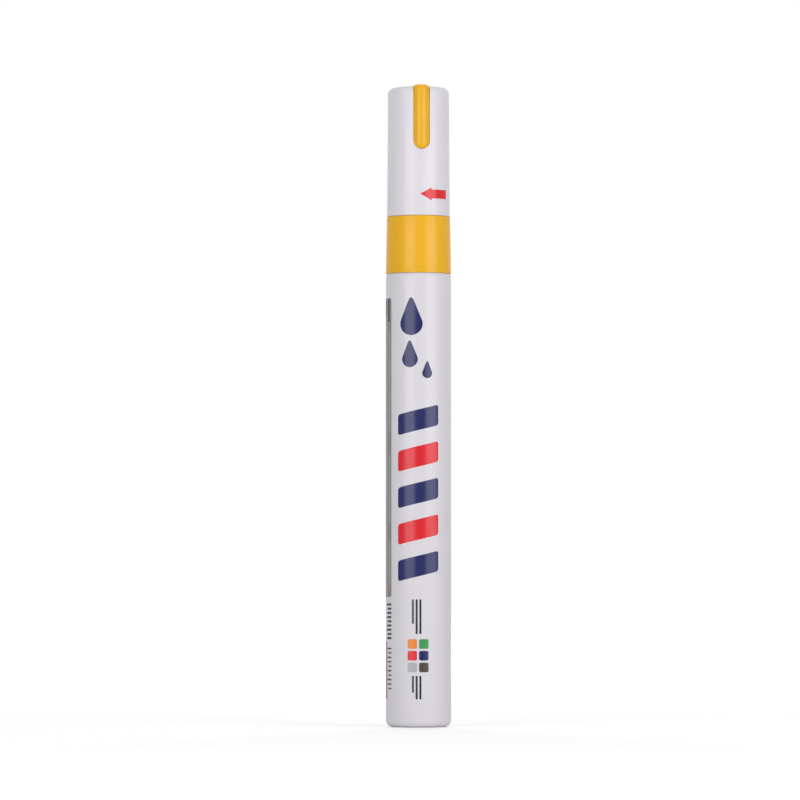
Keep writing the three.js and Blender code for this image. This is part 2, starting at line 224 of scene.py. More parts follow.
def blocks(name: str, size: Vector, centre: Vector, turns: Iterable[float]) -> list[bpy.types.Object]:
    """Makes equal blocks round the Z axis.

    Args:
        name: Their name.
        size: Their width, depth and height, in millimetres.
        centre: Their centre before they are turned, in millimetres.
        turns: Each one's turn about the axis, in radians.

    Returns:
        The blocks.
    """
    made = []
    for turn in turns:
        bm = bmesh.new()
        bmesh.ops.create_cube(bm, size=1.0)
        bmesh.ops.scale(bm, vec=size * MM, verts=bm.verts)
        bmesh.ops.translate(bm, vec=centre * MM, verts=bm.verts)
        bmesh.ops.rotate(bm, cent=(0, 0, 0), matrix=Matrix.Rotation(turn, 3, "Z"), verts=bm.verts)
        made.append(finish_mesh(bm, name))
    return made


def spaced(count: int, start: float = 0.0) -> list[float]:
    """Returns equal steps round one turn from a start, in radians."""
    return [start + TAU * i / count for i in range(count)]


class Change(Enum):
    """What one solid does to another."""

    JOIN = "UNION"
    CUT = "DIFFERENCE"
    BOUND = "INTERSECT"


def combine(piece: bpy.types.Object, change: Change, tools: Iterable[bpy.types.Object]) -> None:
    """Changes a piece by other objects, one after another, and removes them.

    Args:
        piece: The piece.
        change: What the others do to it.
        tools: The others.
    """
    for tool in tools:
        modifier = piece.modifiers.new("combine", "BOOLEAN")
        modifier.operation = change.value
        modifier.solver = "EXACT"
        modifier.object = tool
        evaluated = piece.evaluated_get(bpy.context.evaluated_depsgraph_get())
        mesh = bpy.data.meshes.new_from_object(evaluated)
        piece.modifiers.clear()
        old = piece.data
        piece.data = mesh
        mesh.name = piece.name
        bpy.data.meshes.remove(old)
        bpy.data.objects.remove(tool)
    set_creases(piece.data)


def place(piece: bpy.types.Object, height: float, turn: float = 0.0) -> None:
    """Lifts a piece's mesh, in millimetres, and turns it about the Z axis, in radians."""
    piece.data.transform(Matrix.Translation((0, 0, height * MM)) @ Matrix.Rotation(turn, 4, "Z"))


def heights(box: Sequence[Vector]) -> Span:
    """Returns the heights of a box's lower and upper corners, in millimetres."""
    return box[0].z / MM, box[1].z / MM


# Finishes


Socket = bpy.types.NodeSocket
Inputs = dict[str | int, float | tuple[float, ...] | Socket]


class NodeTree:
    """A material's or a world's node tree, which starts empty, with helpers that add nodes."""

    def __init__(self, owner: bpy.types.Material | bpy.types.World) -> None:
        """Empties the node tree of a material or a world.

        Args:
            owner: The material or the world.
        """
        owner.use_nodes = True
        self.tree = owner.node_tree
        self.tree.nodes.clear()

    def feed(self, node: bpy.types.Node, inputs: Inputs) -> None:
        """Sets a node's inputs.

        Args:
            node: The node.
            inputs: Each input's name or number, with its constant or another node's output.
        """
        for key, value in inputs.items():
            if isinstance(value, Socket):
                self.tree.links.new(value, node.inputs[key])
            else:
                node.inputs[key].default_value = value

    def add(self, kind: str, inputs: Inputs | None = None,
            operation: str | None = None) -> bpy.types.Node:
        """Adds a node.

        Args:
            kind: The node's type, less the word ShaderNode.
            inputs: Its inputs.
            operation: What it does, if it is a Math or a Vector Math node.

        Returns:
            The node.
        """
        node = self.tree.nodes.new(f"ShaderNode{kind}")
        if operation:
            node.operation = operation
        self.feed(node, inputs or {})
        return node

    def ramp(self, value: Socket, edges: Span, results: Span = (0.0, 1.0)) -> Socket:
        """Maps a value from one range to another and clamps it there.

        Args:
            value: The value.
            edges: Where the ramp starts and ends.
            results: What it gives at its start and at its end.

        Returns:
            The mapped value.
        """
        return self.add("MapRange", {
            "Value": value, "From Min": edges[0], "From Max": edges[1], "To Min": results[0],
            "To Max": results[1],
        }).outputs["Result"]


@dataclass(frozen=True)
class Pattern:
    """A noise pattern on Object coordinates.

    It holds the size of its features in millimetres, its octaves, how much longer the features are
    along each axis, and how strong the small octaves are.
    """

    size: float
    detail: float = 2.0
    stretch: Triple = (1, 1, 1)
    roughness: float = 0.5


class Recipe(NodeTree):
    """A material with one Principled shader, and helpers for its pattern nodes."""

    SCUFF_SIZE = 0.3
    SCUFF_EDGES = (0.63, 0.7)
    SCUFF_PATCH = Pattern(12)
    SCUFF_PATCH_EDGES = (0.47, 0.6)

    # The numbers of a Mix node's colour sockets
    MIX_FIRST, MIX_SECOND, MIX_RESULT = 6, 7, 2

    def __init__(self, name: str, colour: Colour, inputs: Inputs) -> None:
        """Starts a material.

        Args:
            name: The material's name.
            colour: Its linear base colour.
            inputs: The shader's other inputs.
        """
        self.material = bpy.data.materials.new(name)
        self.material.diffuse_color = (*colour, 1)
        super().__init__(self.material)
        self.shader = self.add("BsdfPrincipled", {"Base Color": (*colour, 1), **inputs})
        self.add("OutputMaterial", {"Surface": self.shader.outputs["BSDF"]})
        self.place = self.add("TexCoord").outputs["Object"]

    def noise(self, pattern: Pattern) -> Socket:
        """Adds a noise pattern.

        Args:
            pattern: The pattern.

        Returns:
            The noise's factor, from 0 to 1.
        """
        scale = tuple(1 / s for s in pattern.stretch)
        mapping = self.add("Mapping", {"Vector": self.place, "Scale": scale})
        return self.add("TexNoise", {
            "Vector": mapping.outputs["Vector"], "Scale": 1 / (pattern.size * MM),
            "Detail": pattern.detail, "Roughness": pattern.roughness,
        }).outputs["Fac"]

    def specks(self, spacing: float, share: float) -> Socket:
        """Adds sparse round specks.

        Args:
            spacing: The distance between specks, in millimetres.
            share: A speck's radius as a share of that distance.

        Returns:
            A factor that is 1 on a speck and 0 elsewhere.
        """
        cells = self.add("TexVoronoi", {"Vector": self.place, "Scale": 1 / (spacing * MM)})
        return self.ramp(cells.outputs["Distance"], (share, 2 * share), (1.0, 0.0))

    def scuffs(self, stretch: Triple) -> Socket:
        """Adds hairline scuffs in loose patches.

        Args:
            stretch: How much longer the scuffs are along each axis.

        Returns:
            A factor that is 1 on a scuff and 0 elsewhere.
        """
        lines = self.ramp(self.noise(Pattern(self.SCUFF_SIZE, 1, stretch)), self.SCUFF_EDGES)
        patches = self.ramp(self.noise(self.SCUFF_PATCH), self.SCUFF_PATCH_EDGES)
        return self.add("Math", {0: lines, 1: patches}, operation="MULTIPLY").outputs[0]

    def blend(self, factor: Socket, *colours: Colour | Socket) -> Socket:
        """Mixes two colours.

        Args:
            factor: The second colour's share.
            *colours: The first colour and the second.

        Returns:
            The mixed colour.
        """
        first, second = (colour if isinstance(colour, Socket) else (*colour, 1) for colour in colours)
        node = self.add("Mix", {"Factor": factor, self.MIX_FIRST: first, self.MIX_SECOND: second})
        node.data_type = "RGBA"
        return node.outputs[self.MIX_RESULT]

    def feed_shader(self, inputs: Inputs) -> None:
        """Sets more of the shader's inputs."""
        self.feed(self.shader, inputs)

    def bump(self, *layers: tuple[Socket, float]) -> None:
        """Adds bump layers to the shader's normal and to its coat's.

        Args:
            *layers: Each layer's height pattern and its depth, in millimetres.
        """
        below = {}
        for height, depth in layers:
            node = self.add("Bump", {"Strength": 1.0, "Distance": depth * MM, "Height": height, **below})
            below = {"Normal": node.outputs["Normal"]}
        self.feed_shader({**below, "Coat Normal": below["Normal"]})


def shades(colour: Colour, *tones: float) -> list[Colour]:
    """Returns a colour made lighter or darker by each tone, which is a share of it."""
    return [tuple(min(1.0, channel * tone) for channel in colour) for tone in tones]


@dataclass(frozen=True)
class Surface:
    """A finish: its name, its linear colour, a slot name, which is not used here, and how it throws light
    back.

    The glaze is the weight of a thin gloss over the base, and gloss its roughness. The glow is the
    share of the light that spreads under the surface, as far as its reach in millimetres.
    """

    name: str
    colour: Colour
    slot: str
    roughness: float
    specular: float = 0.5
    metal: float = 0.0
    glaze: float = 0.0
    gloss: float = 0.2
    fuzz: float = 0.0
    glow: float = 0.0
    glow_reach: float = 0.9
    glow_colour: Colour = (1.0, 0.9, 0.8)

    def pattern(self, recipe: Recipe) -> None:
        """Adds the finish's patterns to its recipe; a plain surface has none."""

    def material(self) -> bpy.types.Material:
        """Builds the material.

        Returns:
            The material.
        """
        recipe = Recipe(self.name, self.colour, {
            "Roughness": self.roughness, "Specular IOR Level": self.specular, "Metallic": self.metal,
            "Coat Weight": self.glaze, "Coat Roughness": self.gloss, "Sheen Weight": self.fuzz,
            "Subsurface Weight": self.glow, "Subsurface Scale": self.glow_reach * MM,
            "Subsurface Radius": self.glow_colour,
        })
        self.pattern(recipe)
        return recipe.material

    def worn(self, changes: Span) -> Span:
        """Returns the roughness with each of two changes."""
        return self.roughness + changes[0], self.roughness + changes[1]


@dataclass(frozen=True)
class Skin(Surface):
    """A semi-gloss skin: a drifting tone, hairline scuffs, rubbed patches and faint waves.

    Tones are shares of the colour, and depths are millimetres.
    """

    roughness: float = 0.42
    specular: float = 0.12
    glaze: float = 0.285
    drift: Pattern = Pattern(26, 3, (1, 1, 2.5))
    drift_tones: Span = (0.965, 1.02)
    scuff_stretch: Triple = (1, 1, 26)
    scuff_tone: float = 0.93
    scuff_depth: float = 0.0012
    rub: Pattern = Pattern(3.2, 5, (1, 1, 0.35), 0.7)
    rub_edges: Span = (0.3, 0.75)
    rub_changes: Span = (-0.1, 0.12)
    waves: tuple[tuple[Pattern, float], ...] = ((Pattern(1.4, 1), 0.0022), (Pattern(0.22), 0.0003))

    def tone(self, recipe: Recipe) -> Socket:
        """Adds the drifting tone to a recipe and returns its colour."""
        return recipe.blend(recipe.noise(self.drift), *shades(self.colour, *self.drift_tones))

    def pattern(self, recipe: Recipe) -> None:
        """Adds the skin's patterns.

        Args:
            recipe: The recipe that they are added to.
        """
        scuffs = recipe.scuffs(self.scuff_stretch)
        rubbed = recipe.noise(self.rub)
        recipe.feed_shader({
            "Base Color": recipe.blend(scuffs, self.tone(recipe), *shades(self.colour, self.scuff_tone)),
            "Roughness": recipe.ramp(rubbed, self.rub_edges, self.worn(self.rub_changes)),
        })
        waves = [(recipe.noise(pattern), depth) for pattern, depth in self.waves]
        recipe.bump(*waves, (scuffs, -self.scuff_depth))


@dataclass(frozen=True)
class BakedEnamel(Skin):
    """Enamel baked on a drawn aluminium tube: a faint orange peel and a few dust specks."""

    slot: str = "white_enamel"
    dust_spacing: float = 6.5
    dust_share: float = 0.006
    dust_tone: float = 0.8

    def tone(self, recipe: Recipe) -> Socket:
        """Adds the drifting tone with dust on it to a recipe and returns its colour."""
        dust = recipe.specks(self.dust_spacing, self.dust_share)
        return recipe.blend(dust, super().tone(recipe), *shades(self.colour, self.dust_tone))


@dataclass(frozen=True)
class MouldedPlastic(Skin):
    """Moulded plastic: soft light under the skin, faint flow marks and a fine grain."""

    drift: Pattern = Pattern(9, 3, (1, 1, 3.5))
    drift_tones: Span = (0.965, 1.025)
    scuff_stretch: Triple = (26, 26, 1)
    scuff_tone: float = 0.94
    rub: Pattern = Pattern(2.4, 5, (1, 1, 0.5), 0.65)
    rub_changes: Span = (-0.1, 0.1)
    waves: tuple[tuple[Pattern, float], ...] = ((Pattern(2.6, 1), 0.003), (Pattern(0.2), 0.0004))
    glow: float = 0.12


@dataclass(frozen=True)
class Felt(Surface):
    """Bonded fibre: long fine strands along the nib that show as streaks and as fuzz."""

    slot: str = "felt"
    roughness: float = 0.95
    specular: float = 0.2
    fuzz: float = 0.35
    glow: float = 0.1
    glow_reach: float = 0.4
    strand: Pattern = Pattern(0.11, 2, (1, 1, 14))
    strand_tones: Span = (0.72, 1.08)
    strand_depth: float = 0.05
    mottle: Pattern = Pattern(0.9, 3)
    fibre: Pattern = Pattern(0.07)
    fibre_depth: float = 0.015

    def pattern(self, recipe: Recipe) -> None:
        """Adds the felt's patterns.

        Args:
            recipe: The recipe that they are added to.
        """
        strands = recipe.noise(self.strand)
        streaks = recipe.blend(strands, *shades(self.colour, *self.strand_tones))
        recipe.feed_shader({"Base Color": recipe.blend(recipe.noise(self.mottle), streaks, self.colour)})
        recipe.bump((strands, self.strand_depth), (recipe.noise(self.fibre), self.fibre_depth))


@dataclass(frozen=True)
class PolishedSteel(Surface):
    """Polished stainless steel with fine drawing lines."""

    slot: str = "steel"
    roughness: float = 0.16
    metal: float = 1.0
    line: Pattern = Pattern(0.08, 2, (4, 4, 1))
    line_edges: Span = (0.35, 0.7)
    line_changes: Span = (-0.05, 0.1)
    line_depth: float = 0.0008

    def pattern(self, recipe: Recipe) -> None:
        """Adds the steel's patterns.

        Args:
            recipe: The recipe that they are added to.
        """
        lines = recipe.noise(self.line)
        recipe.feed_shader({"Roughness": recipe.ramp(lines, self.line_edges, self.worn(self.line_changes))})
        recipe.bump((lines, self.line_depth))


@dataclass(frozen=True)
class PrintedInk(Surface):
    """Screen-printed ink: nearly even, with a soft mottle and pinholes that show the ground."""

    slot: str = "printed_ink"
    roughness: float = 0.45
    specular: float = 0.05
    glaze: float = 0.53
    gloss: float = 0.22
    mottle: Pattern = Pattern(0.7, 4, roughness=0.6)
    mottle_tones: Span = (0.86, 1.12)
    mottle_depth: float = 0.002
    hole_spacing: float = 1.9
    hole_share: float = 0.02
    ground: Colour = (0.55, 0.54, 0.57)

    def pattern(self, recipe: Recipe) -> None:
        """Adds the ink's patterns.

        Args:
            recipe: The recipe that they are added to.
        """
        mottle = recipe.noise(self.mottle)
        tone = recipe.blend(mottle, *shades(self.colour, *self.mottle_tones))
        holes = recipe.specks(self.hole_spacing, self.hole_share)
        recipe.feed_shader({"Base Color": recipe.blend(holes, tone, self.ground)})
        recipe.bump((mottle, self.mottle_depth))


class Finish(Enum):
    """The pen's finishes."""

    ENAMEL = BakedEnamel("enamel_white", (0.72, 0.70, 0.745))
    SHELL = MouldedPlastic("plastic_white", (0.76, 0.735, 0.785), "white_plastic")
    COLOUR = MouldedPlastic("plastic_yellow", (0.86, 0.455, 0.012), "yellow_plastic")
    NATURAL = MouldedPlastic("plastic_natural", (0.78, 0.77, 0.71), "natural_plastic",
                             roughness=0.5, glaze=0.22, gloss=0.3, glow=0.5)
    FELT = Felt("felt_cream", (0.80, 0.76, 0.66))
    STEEL = PolishedSteel("steel_polished", (0.62, 0.62, 0.63))
    NAVY = PrintedInk("ink_navy", (0.009, 0.014, 0.108))
    RED = PrintedInk("ink_red", (0.73, 0.012, 0.022))
    CRIMSON = PrintedInk("ink_crimson", (0.40, 0.055, 0.075))
    GREY = PrintedInk("ink_grey", (0.235, 0.225, 0.215))
    ORANGE = PrintedInk("ink_orange", (0.80, 0.23, 0.02))
    GREEN = PrintedInk("ink_green", (0.05, 0.30, 0.09))
    SILVER = PrintedInk("ink_silver", (0.42, 0.42, 0.43))
    BROWN = PrintedInk("ink_brown", (0.075, 0.055, 0.045))
    BLACK = PrintedInk("ink_black", (0.022, 0.022, 0.026))

    @property
    def material(self) -> bpy.types.Material:
        """The finish's material, built when it is first asked for."""
        return bpy.data.materials.get(self.value.name) or self.value.material()


class Body(Enum):
    """The CAD bodies that pieces ride on."""

    BARREL = "barrel"
    PLUNGER = "nib_plunger"
    CAP = "cap"
    BALL = "mixing_ball"


def dress(piece: bpy.types.Object, finish: Finish, body: Body, node: str | None = None) -> None:
    """Gives a piece its finish and its body.

    Args:
        piece: The piece.
        finish: Its finish.
        body: The CAD body that it rides on.
        node: The CAD node that it stands for, if any.
    """
    piece.data.materials.clear()
    piece.data.materials.append(finish.material)
    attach(piece, body.value)
    if node:
        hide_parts(node)
    log.info("%s rides on %s, %d faces", piece.name, body.value, len(piece.data.polygons))


# Printed marks


Drawer = Callable[[bmesh.types.BMesh], None]

# Facets of a printed drop, and the share of its width that its point loses
DROP_FACETS = 56
DROP_TAPER = 0.35


@dataclass(frozen=True)
class Print:
    """Ink printed on a round surface: shapes laid out flat, then wrapped round it.

    It holds the surface's radius at a height, the body that carries it, how far the ink stands above
    the surface and reaches into it, and the width of the strips that bend round it, in millimetres.
    """

    radius: Callable[[float], float]
    body: Body
    thickness: float = 0.018
    sunk: float = 0.01
    strip: float = 0.3

    def cut(self, bm: bmesh.types.BMesh) -> None:
        """Cuts a flat shape into upright strips.

        Args:
            bm: The shape.
        """
        left = min(vert.co.x for vert in bm.verts)
        right = max(vert.co.x for vert in bm.verts)
        strips = math.ceil((right - left) / (self.strip * MM))
        for i in range(1, strips):
            spot = (left + (right - left) * i / strips, 0, 0)
            bmesh.ops.bisect_plane(bm, geom=bm.verts[:] + bm.edges[:] + bm.faces[:], dist=ON_CUT,
                                   plane_co=spot, plane_no=(1, 0, 0))

    def wrap(self, bm: bmesh.types.BMesh) -> None:
        """Bends a flat print onto the surface.

        Args:
            bm: The print.
        """
        for vert in bm.verts:
            radius = self.radius(vert.co.z / MM) * MM
            angle = vert.co.x / radius
            reach = radius - vert.co.y
            vert.co = Vector((reach * math.sin(angle), -reach * math.cos(angle), vert.co.z))

    def press(self, name: str, shapes: Iterable[Drawer], finish: Finish) -> None:
        """Prints and dresses shapes in one ink, as one piece.

        Args:
            name: The piece's name.
            shapes: Functions that each draw a flat face into a bmesh, in metres.
            finish: The ink.
        """
        whole = bmesh.new()
        for draw in shapes:
            bm = bmesh.new()
            draw(bm)
            self.cut(bm)
            bmesh.ops.translate(bm, vec=(0, self.sunk * MM, 0), verts=bm.verts)
            extrude(bm, (0, -(self.sunk + self.thickness) * MM, 0))
            self.wrap(bm)
            part = bpy.data.meshes.new("part")
            bm.to_mesh(part)
            bm.free()
            whole.from_mesh(part)
            bpy.data.meshes.remove(part)
        bmesh.ops.recalc_face_normals(whole, faces=whole.faces)
        dress(finish_mesh(whole, name), finish, self.body)


def polygon(points: Sequence[Span], fillet: float = 0.0) -> Drawer:
    """Lays out a flat polygon.

    Args:
        points: Its corners, in millimetres.
        fillet: How far each corner's round reaches along its sides, in millimetres.

    Returns:
        Its drawer.
    """
    def draw(bm: bmesh.types.BMesh) -> None:
        """Draws the polygon.

        Args:
            bm: The mesh that takes it.
        """
        face = bm.faces.new([bm.verts.new((x * MM, 0, z * MM)) for x, z in points])
        if fillet:
            round_corners(bm, face.verts[:], fillet * MM)
    return draw


def bar(x: float, z: float, width: float, height: float, fillet: float = 0.0,
        slant: float = 0.0) -> Drawer:
    """Lays out a flat bar.

    Args:
        x: Its centre along the girth, in millimetres.
        z: Its centre's height, in millimetres.
        width: Its width, in millimetres.
        height: Its height, in millimetres.
        fillet: How far each corner's round reaches along its sides, in millimetres.
        slant: How far its right end is raised and its left end lowered, in millimetres.

    Returns:
        Its drawer.
    """
    w, h = width / 2, height / 2
    return polygon([(x - w, z - h - slant), (x + w, z - h + slant),
                    (x + w, z + h + slant), (x - w, z + h - slant)], fillet)


def drop(x: float, z: float, radius: float, length: float) -> Drawer:
    """Lays out a flat paint drop that points up.

    Args:
        x: The place of its middle along the girth, in millimetres.
        z: The height of its round end's centre, in millimetres.
        radius: The radius of its round end, in millimetres.
        length: How far its point stands above that centre, in millimetres.

    Returns:
        Its drawer.
    """
    def draw(bm: bmesh.types.BMesh) -> None:
        """Draws the drop.

        Args:
            bm: The mesh that takes it.
        """
        bmesh.ops.create_circle(bm, cap_ends=True, radius=radius * MM, segments=DROP_FACETS,
                                matrix=UPRIGHT)
        for vert in bm.verts:
            rise = max(0.0, vert.co.z / (radius * MM))
            vert.co.z += (length - radius) * MM * rise ** 3
            vert.co.x *= 1 - DROP_TAPER * rise ** 2
        bmesh.ops.translate(bm, vec=(x * MM, 0, z * MM), verts=bm.verts)
    return draw


@dataclass(frozen=True)
class Rules:
    """Thin printed bars side by side, each with one end on a straight line.

    It holds where the first bar starts, with X along the girth and Z up, the distance between bars,
    their width, their lengths and how far each corner's round reaches, in millimetres.
    """

    x: float
    z: float
    pitch: float
    width: float
    lengths: tuple[float, ...]
    fillet: float = 0.1

    def hung(self) -> list[Drawer]:
        """Lays out upright bars that hang from the line, each left of the one before."""
        return [bar(self.x - self.pitch * i, self.z - length / 2, self.width, length, self.fillet)
                for i, length in enumerate(self.lengths)]

    def stacked(self) -> list[Drawer]:
        """Lays out level bars that run left from the line, each below the one before."""
        return [bar(self.x - length / 2, self.z - self.pitch * i, length, self.width, self.fillet)
                for i, length in enumerate(self.lengths)]


# The pen


@dataclass(frozen=True)
class BarrelMarks:
    """The marks printed on the barrel, with X along the girth to the right and Z up.

    A drop is held as its x, z, radius and length, a panel as its x, z, width, height and round, and a
    group of rules as its top and its longest rule's length.
    """

    drops: tuple[tuple[float, ...], ...] = ((-1.6, 86.2, 2.5, 5.6), (-1.9, 78.6, 1.75, 4.0),
                                            (1.9, 75.6, 1.1, 2.6))
    bars: tuple[tuple[Finish, tuple[float, ...]], ...] = ((Finish.NAVY, (65.6, 50.0, 34.4)),
                                                          (Finish.RED, (57.8, 42.2)))
    bar_x: float = -0.1
    bar_size: Span = (9.2, 4.4)
    bar_round: float = 0.6
    bar_slant: float = 1.1
    rules: tuple[Rules, ...] = (Rules(0.4, 27.3, 0.8, 0.42, (7.4, 7.4, 5.2), 0.12),
                                Rules(0.4, 11.0, 0.8, 0.42, (5.0, 5.0, 3.6), 0.12))
    chips: tuple[Finish, ...] = (Finish.ORANGE, Finish.GREEN, Finish.RED,
                                 Finish.NAVY, Finish.SILVER, Finish.BROWN)
    chip_spot: Span = (-1.35, 17.8)
    chip_pitch: float = 2.5
    chip_size: float = 2.05
    chip_round: float = 0.35
    grey_panel: tuple[float, ...] = (-12.45, 59.8, 11.2, 64.0, 0.5)
    red_panel: tuple[float, ...] = (-13.95, 12.05, 10.1, 12.3, 0.5)
    dashes: tuple[Rules, ...] = (Rules(-6.85, 26.2, 0.9, 0.45, (2.3, 1.7, 2.1) * 3),
                                 Rules(-6.85, 16.8, 0.95, 0.32, (1.8, 1.3, 1.8, 1.6, 1.2) * 2))
    panel_ink: float = 0.03
    heading: Rules = Rules(-8.0, 91.5, 1.7, 0.9, (4.8, 3.4, 4.8, 2.6, 4.2, 3.0), 0.15)
    groups: tuple[Span, ...] = ((84.6, 24.0), (58.2, 16.0), (39.8, 10.5))
    group_shares: tuple[float, ...] = (0.9, 1.0, 0.96, 1.0, 0.93, 0.98, 0.6)
    group_x: float = -7.45
    group_pitch: float = 1.65
    group_width: float = 0.32

    def print_front(self, ink: Print) -> None:
        """Prints drops, slanted bars, rules and chips on the front.

        Args:
            ink: How they are printed.
        """
        ink.press("print_drops", [drop(*sizes) for sizes in self.drops], Finish.NAVY)
        for finish, places in self.bars:
            bars = [bar(self.bar_x, z, *self.bar_size, self.bar_round, self.bar_slant) for z in places]
            ink.press(f"print_bars_{finish.name.lower()}", bars, finish)
        ink.press("print_rules", [rule for row in self.rules for rule in row.hung()], Finish.BLACK)
        x, z = self.chip_spot
        for i, finish in enumerate(self.chips):
            chip = bar(x + self.chip_pitch * (i % 2), z - self.chip_pitch * (i // 2),
                       self.chip_size, self.chip_size, self.chip_round)
            ink.press(f"print_chip_{finish.name.lower()}", [chip], finish)

    def print_side(self, ink: Print) -> None:
        """Prints the left side: a grey panel with rules on it, a red panel and two runs of dashes.

        Args:
            ink: How they are printed; what lies on the grey panel stands higher.
        """
        ink.press("print_panel_grey", [bar(*self.grey_panel)], Finish.GREY)
        ink.press("print_panel_red", [bar(*self.red_panel)], Finish.CRIMSON)
        dashes = [dash for run in self.dashes for dash in run.stacked()]
        ink.press("print_side_dashes", dashes, Finish.BLACK)
        over = Print(ink.radius, ink.body, self.panel_ink)
        over.press("print_panel_heading", self.heading.hung(), Finish.BLACK)
        groups = [Rules(self.group_x, top, self.group_pitch, self.group_width,
                        tuple(length * share for share in self.group_shares))
                  for top, length in self.groups]
        rules = [rule for group in groups for rule in group.hung()]
        over.press("print_panel_rules", rules, Finish.SILVER)


@dataclass
class Barrel:
    """The enamelled aluminium tube, the ball inside it and the marks printed on it."""

    radius: float = field(default_factory=lambda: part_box("barrel")[1].x / MM)
    length: float = field(default_factory=lambda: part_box("barrel")[1].z / MM)
    wall: float = 0.5
    foot_thickness: float = 1.2
    foot_round: float = 1.6
    ring_width: float = 1.4
    ring_round: float = 0.3
    dish_depth: float = 0.4
    dish_round: float = 0.5
    rim_height: float = 0.65
    rim_inset: float = 0.18
    rim_round: float = 2.0
    ball_radius: float = 2.5
    ball_subdivisions: int = 4
    marks: BarrelMarks = BarrelMarks()

    def build_tube(self) -> None:
        """Builds and dresses the tube."""
        bore = self.radius - self.wall
        ring = self.radius - self.foot_round - self.ring_width
        tube = turned("barrel_tube", [
            at(0, self.dish_depth),
            at(ring - 2 * self.dish_depth, self.dish_depth, self.dish_round),
            at(ring, 0, self.ring_round),
            at(self.radius, 0, self.foot_round),
            at(self.radius, self.length - self.rim_height, self.rim_round),
            at(self.radius - self.rim_inset, self.length, CRISP),
            at(bore, self.length, EDGE),
            at(bore, self.foot_thickness, self.foot_round - self.wall),
            at(0, self.foot_thickness),
        ])
        dress(tube, Finish.ENAMEL, Body.BARREL, "barrel")

    def build_ball(self) -> None:
        """Builds and dresses the ball."""
        bm = bmesh.new()
        bmesh.ops.create_icosphere(bm, subdivisions=self.ball_subdivisions, radius=self.ball_radius * MM)
        low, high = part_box("mixing_ball")
        bmesh.ops.translate(bm, vec=(low + high) / 2, verts=bm.verts)
        dress(finish_mesh(bm, "steel_ball"), Finish.STEEL, Body.BALL, "mixing_ball")

    def build(self) -> None:
        """Builds the tube, the ball and the marks."""
        self.build_tube()
        self.build_ball()
        ink = Print(lambda z: self.radius, Body.BARREL)
        self.marks.print_front(ink)
        self.marks.print_side(ink)


@dataclass
class FrontSection:
    """The yellow moulding that plugs the barrel: collar, neck, seal land and nose."""

    plug_length: float = 13.0
    plug_radius: float = 6.15
    plug_round: float = 0.25
    rib_radius: float = 6.45
    rib_length: float = 1.4
    rib_count: int = 3
    bore: float = 4.95
    chamber: float = 4.45
    ledge: float = -3.5
    collar_height: float = 12.2
    collar_foot: float = 7.0
    collar_foot_round: float = 0.07
    collar_top: float = 6.8
    collar_top_round: float = 0.16
    neck: float = 5.75
    neck_top: float = 19.2
    neck_round: float = 0.5
    bead: float = 5.95
    bead_height: float = 15.8
    bead_length: float = 1.2
    land: float = 4.05
    land_top: float = 22.7
    land_bore: float = 2.85
    wall: float = 1.2
    nose: float = 2.75
    nose_top: float = 27.2
    nose_round: float = 0.25
    nose_bore: float = 2.15
    nose_bore_round: float = 0.12
    guide: float = 1.75
    guide_width: float = 0.8
    guide_count: int = 4
    guide_sunk: float = 0.3
    guide_drop: float = 0.2

    @property
    def foot(self) -> float:
        """The height of the collar's lower face."""
        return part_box("front_section")[0].z / MM + self.plug_length

    def ribs(self) -> list[Corner]:
        """Lays out the ribs that grip the barrel's bore.

        Returns:
            Their part of the moulding's outline.
        """
        pitch = self.plug_length / (self.rib_count + 1)
        step = self.rib_radius - self.plug_radius
        half = self.rib_length / 2
        outline = []
        for i in range(self.rib_count):
            middle = pitch * (i + 1) - self.plug_length
            outline += [
                at(self.plug_radius, middle - half),
                at(self.rib_radius, middle - half + step, EDGE),
                at(self.rib_radius, middle + half - step, EDGE),
                at(self.plug_radius, middle + half),
            ]
        return outline

    def build(self) -> None:
        """Builds and dresses the moulding."""
        bead_half = self.bead_length / 2
        body = turned("front_moulding", [
            at(self.bore, -self.plug_length),
            at(self.plug_radius, -self.plug_length, self.plug_round),
            *self.ribs(),
            at(self.plug_radius, 0),
            at(self.collar_foot, 0, self.collar_foot_round),
            at(self.collar_top, self.collar_height, self.collar_top_round),
            at(self.neck, self.collar_height, EDGE),
            at(self.neck, self.bead_height - bead_half, SOFT),
            at(self.bead, self.bead_height, self.neck_round),
            at(self.neck, self.bead_height + bead_half, SOFT),
            at(self.neck, self.neck_top, self.neck_round),
            at(self.land, self.neck_top, SOFT),
            at(self.land, self.land_top, LEAD),
            at(self.nose, self.nose_top, self.nose_round),
            at(self.nose_bore, self.nose_top, self.nose_bore_round),
            at(self.nose_bore, self.land_top - self.wall),
            at(self.land_bore, self.land_top - self.wall),
            at(self.land_bore, self.neck_top - self.wall),
            at(self.chamber, self.neck_top - self.wall, LEAD),
            at(self.chamber, self.ledge),
            at(self.bore, self.ledge),
        ])
        depth = self.nose_bore - self.guide + self.guide_sunk
        low = self.land_top - self.wall
        high = self.nose_top - self.guide_drop
        size = Vector((depth, self.guide_width, high - low))
        centre = Vector((self.guide + depth / 2, 0, (low + high) / 2))
        turns = spaced(self.guide_count, TAU / 2 / self.guide_count)
        combine(body, Change.JOIN, blocks("guide", size, centre, turns))
        place(body, self.foot)
        dress(body, Finish.COLOUR, Body.BARREL, "front_section")


